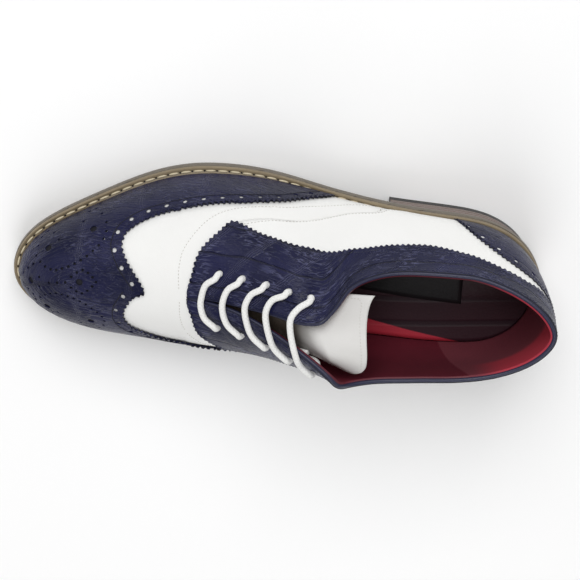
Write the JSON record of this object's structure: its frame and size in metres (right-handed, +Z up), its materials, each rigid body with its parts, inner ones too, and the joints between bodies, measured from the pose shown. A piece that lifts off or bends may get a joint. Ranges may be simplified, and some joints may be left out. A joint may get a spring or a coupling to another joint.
{
  "type": "dress shoe",
  "caption": "Low lace-up dress shoe with a hollow leather upper, contrasting wing toe, lace facing and heel overlays, stitched welt and a stacked heel.",
  "frame": {"origin": "centre of the heel's flat bottom, on the floor plane", "axes": "+Z up from the floor; +Y towards the back of the heel, so the toe points to -Y; +X towards the inner (medial) side of the foot"},
  "size_m": [0.1046, 0.3016, 0.1062],
  "materials": {
    "white_leather": "smooth, semi-matt",
    "navy_leather": "embossed scale grain, semi-gloss",
    "tongue_leather": "smooth, semi-matt",
    "lace_cord": "woven, matt",
    "welt_leather": "waxed, stitched",
    "sole_leather": "waxed edge, satin",
    "heel_stack": "stacked layers, waxed edge",
    "heel_rubber": "matt",
    "sock_lining": "smooth, matt"
  },
  "bodies": {
    "root": {"upper": "white_leather", "wing_cap": "navy_leather", "facing": "navy_leather", "heel_counter": "navy_leather", "tongue": "tongue_leather", "lace": "lace_cord", "welt": "welt_leather", "outsole": "sole_leather", "heel_block": "heel_stack", "heel_top_piece": "heel_rubber", "insole": "sock_lining"}
  },
  "joints": []
}
